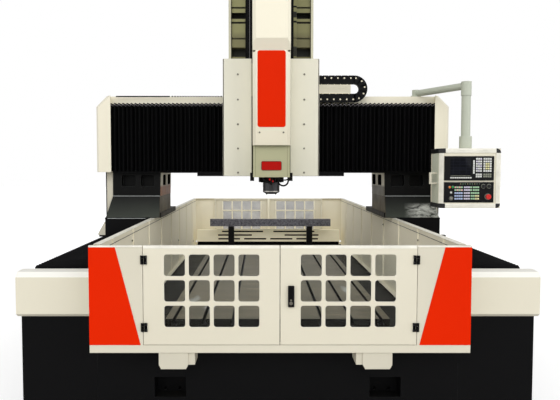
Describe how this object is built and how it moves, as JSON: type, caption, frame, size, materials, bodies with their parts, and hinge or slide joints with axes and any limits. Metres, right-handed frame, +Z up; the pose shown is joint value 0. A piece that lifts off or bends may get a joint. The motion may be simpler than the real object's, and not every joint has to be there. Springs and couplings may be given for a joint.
{
  "type": "CNC gantry drilling machine",
  "caption": "Moving-gantry CNC plate drilling machine with a T-slot table inside a windowed sheet-metal enclosure, bellows-covered crossbeam, ram spindle and hanging control box.",
  "frame": {"origin": "floor level under the middle foot of the centre bed, midway along the beds", "axes": "+X across the machine to the control box side, +Y along the gantry travel away from the operator's doors, +Z up"},
  "size_m": [4.673, 7.837, 4.94],
  "materials": {
    "black_paint": "satin black machine enamel",
    "cream_paint": "semi-gloss cream enamel",
    "beige_paint": "semi-gloss beige enamel",
    "orange_paint": "gloss red-orange enamel",
    "column_grey": "semi-gloss dark grey enamel",
    "bar_blue_grey": "satin blue-grey",
    "ground_steel": "ground",
    "spindle_dark": "blackened, oiled",
    "table_iron": "machined top, dark sides",
    "bellows_black": "matte coated cloth",
    "chain_black": "matte",
    "clear_pane": "clear",
    "arm_grey": "satin grey-green",
    "fascia_black": "satin",
    "stop_red": "gloss",
    "dial_black": "matte",
    "button_green": "gloss",
    "button_amber": "gloss",
    "plate_red": "gloss dark red",
    "hose_black": "satin"
  },
  "bodies": {
    "base": {"center_bed": "black_paint", "side_beds": "black_paint", "bed_end_caps": "cream_paint", "work_table": "table_iron", "guide_rails": "ground_steel", "travel_screws": "ground_steel", "way_covers_front": "bellows_black", "way_covers_rear": "bellows_black", "leveling_feet": "column_grey", "front_frame": "cream_paint", "corner_panels": "orange_paint", "side_walls": "cream_paint", "rear_frame": "cream_paint", "chip_chutes": "cream_paint", "rear_louver": "cream_paint", "bar_stand": "bar_blue_grey", "door_hinges": "black_paint"},
    "door_front_left": {"front_door_left": "cream_paint", "front_glass_left": "clear_pane"},
    "door_front_right": {"front_door_right": "cream_paint", "front_glass_right": "clear_pane"},
    "handle": {"door_handle": "black_paint"},
    "door_rear_left": {"rear_door_left": "cream_paint", "rear_glass_left": "clear_pane"},
    "door_rear_right": {"rear_door_right": "cream_paint", "rear_glass_right": "clear_pane"},
    "gantry": {"saddles": "black_paint", "columns": "column_grey", "column_covers": "cream_paint", "crossbeam": "cream_paint", "beam_rails": "ground_steel", "beam_end_covers": "cream_paint", "cable_box": "cream_paint", "cable_chain": "chain_black", "bellows_left": "bellows_black", "bellows_right": "bellows_black"},
    "cross_screw_rotor": {"cross_screw": "ground_steel"},
    "carriage": {"carriage_plate": "black_paint", "z_tower": "beige_paint", "z_guide_strips": "black_paint", "carriage_covers": "cream_paint", "z_motor": "column_grey"},
    "z_screw_rotor": {"z_screw": "ground_steel"},
    "ram": {"ram_body": "beige_paint", "ram_cover": "cream_paint", "ram_panel": "orange_paint", "name_plate": "plate_red", "coolant_lines": "hose_black"},
    "spindle_rotor": {"spindle": "spindle_dark"},
    "arm": {"pendant_arm": "arm_grey"},
    "panel_box": {"control_box": "cream_paint", "control_fascia": "fascia_black"},
    "stop": {"stop_button": "stop_red"},
    "left_dial": {"dial_left": "dial_black"},
    "right_dial": {"dial_right": "dial_black"},
    "key": {"key_switch": "ground_steel"},
    "start": {"start_button": "button_green"},
    "hold": {"hold_button": "button_amber"}
  },
  "joints": [
    {"name": "gantry_travel", "type": "slide", "parent": "base", "child": "gantry", "axis": [0, 1, 0], "range_m": [-1.78, 2.85], "deforming": ["way_covers_front", "way_covers_rear"]},
    {"name": "cross_travel", "type": "slide", "parent": "gantry", "child": "carriage", "axis": [1, 0, 0], "range_m": [-1, 1], "deforming": ["bellows_left", "bellows_right", "cable_chain"]},
    {"name": "ram_travel", "type": "slide", "parent": "carriage", "child": "ram", "axis": [0, 0, -1], "range_m": [-0.15, 0.85]},
    {"name": "spindle_spin", "type": "hinge", "parent": "ram", "child": "spindle_rotor", "pos_m": [-0.025, -1.7, 2], "axis": [0, 0, 1], "continuous": true},
    {"name": "cross_screw_spin", "type": "hinge", "parent": "gantry", "child": "cross_screw_rotor", "pos_m": [0, -1.096, 2.55], "axis": [1, 0, 0], "continuous": true},
    {"name": "z_screw_spin", "type": "hinge", "parent": "carriage", "child": "z_screw_rotor", "pos_m": [-0.025, -1.388, 3.2], "axis": [0, 0, 1], "continuous": true},
    {"name": "front_left_door_hinge", "type": "hinge", "parent": "base", "child": "door_front_left", "pos_m": [-1.08, -3.909, 1.167], "axis": [0, 0, -1], "range_deg": [0, 105]},
    {"name": "front_right_door_hinge", "type": "hinge", "parent": "base", "child": "door_front_right", "pos_m": [1.1, -3.909, 1.167], "axis": [0, 0, 1], "range_deg": [0, 105]},
    {"name": "rear_left_door_hinge", "type": "hinge", "parent": "base", "child": "door_rear_left", "pos_m": [-1.08, 3.909, 1.167], "axis": [0, 0, 1], "range_deg": [0, 105]},
    {"name": "rear_right_door_hinge", "type": "hinge", "parent": "base", "child": "door_rear_right", "pos_m": [1.1, 3.909, 1.167], "axis": [0, 0, -1], "range_deg": [0, 105]},
    {"name": "handle_turn", "type": "hinge", "parent": "door_front_right", "child": "handle", "pos_m": [0.098, -3.9, 1.093], "axis": [0, 1, 0], "range_deg": [0, 90]},
    {"name": "arm_swivel", "type": "hinge", "parent": "gantry", "child": "arm", "pos_m": [1.771, -1.06, 3.05], "axis": [0, 0, 1], "range_deg": [0, 75]},
    {"name": "panel_swivel", "type": "hinge", "parent": "arm", "child": "panel_box", "pos_m": [2.147, -1.81, 2.4], "axis": [0, 0, 1], "range_deg": [-45, 45]},
    {"name": "stop_push", "type": "slide", "parent": "panel_box", "child": "stop", "axis": [0, 1, 0], "range_m": [0, 0.006], "stiffness_N_per_m": 800},
    {"name": "left_dial_turn", "type": "hinge", "parent": "panel_box", "child": "left_dial", "pos_m": [2.291, -1.996, 1.964], "axis": [0, 1, 0], "range_deg": [-150, 150]},
    {"name": "right_dial_turn", "type": "hinge", "parent": "panel_box", "child": "right_dial", "pos_m": [2.352, -1.996, 1.964], "axis": [0, 1, 0], "range_deg": [-150, 150]},
    {"name": "key_turn", "type": "hinge", "parent": "panel_box", "child": "key", "pos_m": [1.939, -1.996, 1.831], "axis": [0, 1, 0], "range_deg": [0, 90]},
    {"name": "start_push", "type": "slide", "parent": "panel_box", "child": "start", "axis": [0, 1, 0], "range_m": [0, 0.004], "stiffness_N_per_m": 400},
    {"name": "hold_push", "type": "slide", "parent": "panel_box", "child": "hold", "axis": [0, 1, 0], "range_m": [0, 0.004], "stiffness_N_per_m": 400}
  ],
  "couplings": [
    {"joint": "cross_screw_spin", "follows": "cross_travel", "rad_per_m": 157.08},
    {"joint": "z_screw_spin", "follows": "ram_travel", "rad_per_m": 157.08}
  ]
}
